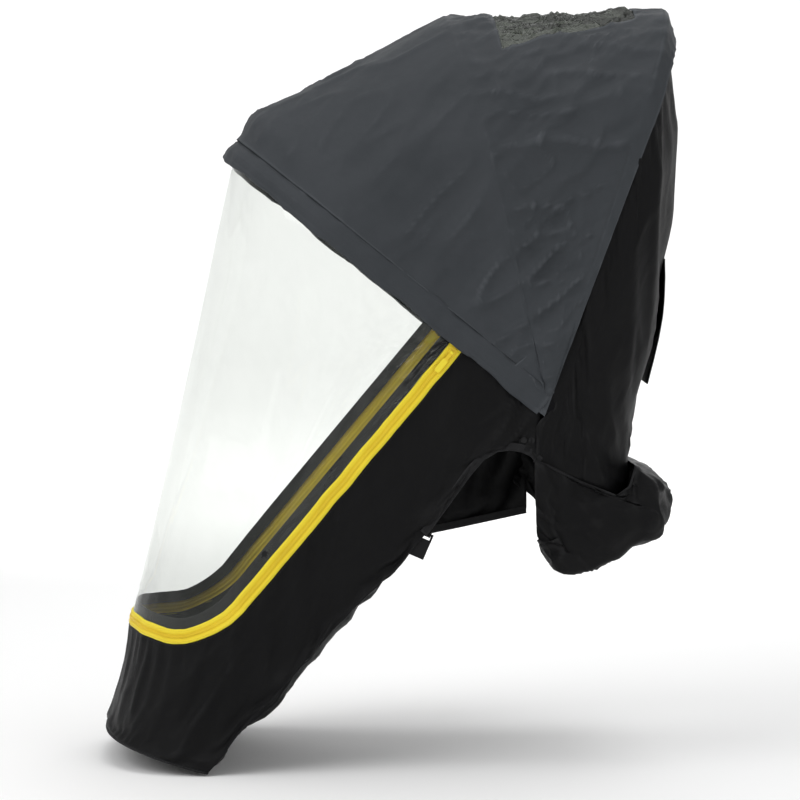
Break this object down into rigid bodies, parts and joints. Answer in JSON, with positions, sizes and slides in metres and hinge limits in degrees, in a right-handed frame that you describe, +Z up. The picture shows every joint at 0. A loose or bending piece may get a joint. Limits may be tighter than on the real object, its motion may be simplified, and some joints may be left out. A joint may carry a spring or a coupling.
{
  "type": "child bicycle seat weather cover",
  "caption": "Weather cover for a rear child bicycle seat: folding grey hood on hoops, clear front window with yellow zip, black body with foot box and rear pocket.",
  "frame": {"origin": "centre of the bounding box at its lowest level, the height of the foot box's heel", "axes": "+Z up as worn, -Y the way the child faces, +X the child's left"},
  "size_m": [0.43, 0.75, 0.9695],
  "materials": {
    "hood_cloth": "coated polyester, charcoal grey",
    "black_cloth": "coated polyester, black",
    "binding": "folded tape",
    "webbing": "flat woven webbing",
    "clear_film": "clear flexible film",
    "zip_tape": "zip tape and coil, yellow",
    "slider_metal": "lacquered in the yellow of the zip",
    "pull_rubber": "moulded in the yellow of the zip",
    "hoop_tube": "satin",
    "moulding": "moulded",
    "board": "flexible sheet",
    "pin_steel": "satin"
  },
  "bodies": {
    "cover": {"rear_hoop": "hoop_tube", "rear_hoop_end_left": "moulding", "rear_hoop_end_right": "moulding", "hub_bracket_left": "moulding", "hub_bracket_right": "moulding", "pivot_pin_left": "pin_steel", "pivot_pin_right": "pin_steel", "hub_rivets": "pin_steel", "hub_patch_left": "hood_cloth", "hub_patch_right": "hood_cloth", "hood_rear_panel": "hood_cloth", "roof_light": "clear_film", "hood_yoke": "hood_cloth", "back_panel": "black_cloth", "rear_bag": "black_cloth", "side_panel_left": "black_cloth", "side_panel_right": "black_cloth", "toe_panel": "black_cloth", "foot_sole": "black_cloth", "foot_board": "board", "calf_panel": "black_cloth", "zip_tape_left": "zip_tape", "zip_tape_right": "zip_tape", "window_binding_left": "binding", "window_binding_right": "binding", "hem_binding_left": "binding", "hem_binding_right": "binding"},
    "front_hoop": {"front_hoop": "hoop_tube", "front_hoop_end_left": "moulding", "front_hoop_end_right": "moulding", "hood_casing": "hood_cloth", "hood_front_panel": "hood_cloth", "front_window": "clear_film"},
    "mid_hoop": {"mid_hoop": "hoop_tube", "mid_hoop_end_left": "moulding", "mid_hoop_end_right": "moulding"},
    "slider_left": {"zip_slider_left": "slider_metal"},
    "slider_right": {"zip_slider_right": "slider_metal"},
    "pull_left": {"zip_pull_left": "pull_rubber"},
    "pull_right": {"zip_pull_right": "pull_rubber"},
    "buckle_left": {"strap_tab_left": "webbing", "buckle_socket": "moulding"},
    "buckle_right": {"strap_tab_right": "webbing", "buckle_plug": "moulding"},
    "back_flap": {"back_flap": "black_cloth"}
  },
  "joints": [
    {"name": "hood_fold", "type": "hinge", "parent": "cover", "child": "front_hoop", "pos_m": [0, 0.188, 0.466], "axis": [-1, 0, 0], "range_deg": [0, 62], "deforming": ["hood_front_panel", "hood_rear_panel", "roof_light", "front_window"]},
    {"name": "mid_hoop_fold", "type": "hinge", "parent": "cover", "child": "mid_hoop", "pos_m": [0, 0.188, 0.466], "axis": [-1, 0, 0], "range_deg": [0, 28.4]},
    {"name": "zip_travel_left", "type": "slide", "parent": "cover", "child": "slider_left", "axis": [0, -0.6406, -0.7679], "range_m": [0, 0.36]},
    {"name": "zip_travel_right", "type": "slide", "parent": "cover", "child": "slider_right", "axis": [0, -0.6406, -0.7679], "range_m": [0, 0.36]},
    {"name": "pull_lift_left", "type": "hinge", "parent": "slider_left", "child": "pull_left", "pos_m": [0.2118, 0.06599, 0.5324], "axis": [0, -0.7679, 0.6406], "range_deg": [0, 100]},
    {"name": "pull_lift_right", "type": "hinge", "parent": "slider_right", "child": "pull_right", "pos_m": [-0.2118, 0.06599, 0.5324], "axis": [0, 0.7679, -0.6406], "range_deg": [0, 100]},
    {"name": "buckle_swing_left", "type": "hinge", "parent": "cover", "child": "buckle_left", "pos_m": [0.198, 0.0416, 0.321], "axis": [0, 1, 0], "range_deg": [0, 70]},
    {"name": "buckle_swing_right", "type": "hinge", "parent": "cover", "child": "buckle_right", "pos_m": [-0.198, 0.092, 0.342], "axis": [0, -1, 0], "range_deg": [0, 70]},
    {"name": "flap_lift", "type": "hinge", "parent": "cover", "child": "back_flap", "pos_m": [0, 0.352, 0.65], "axis": [1, 0, 0], "range_deg": [0, 80]}
  ],
  "couplings": [
    {"joint": "mid_hoop_fold", "follows": "hood_fold", "ratio": 0.45588}
  ]
}
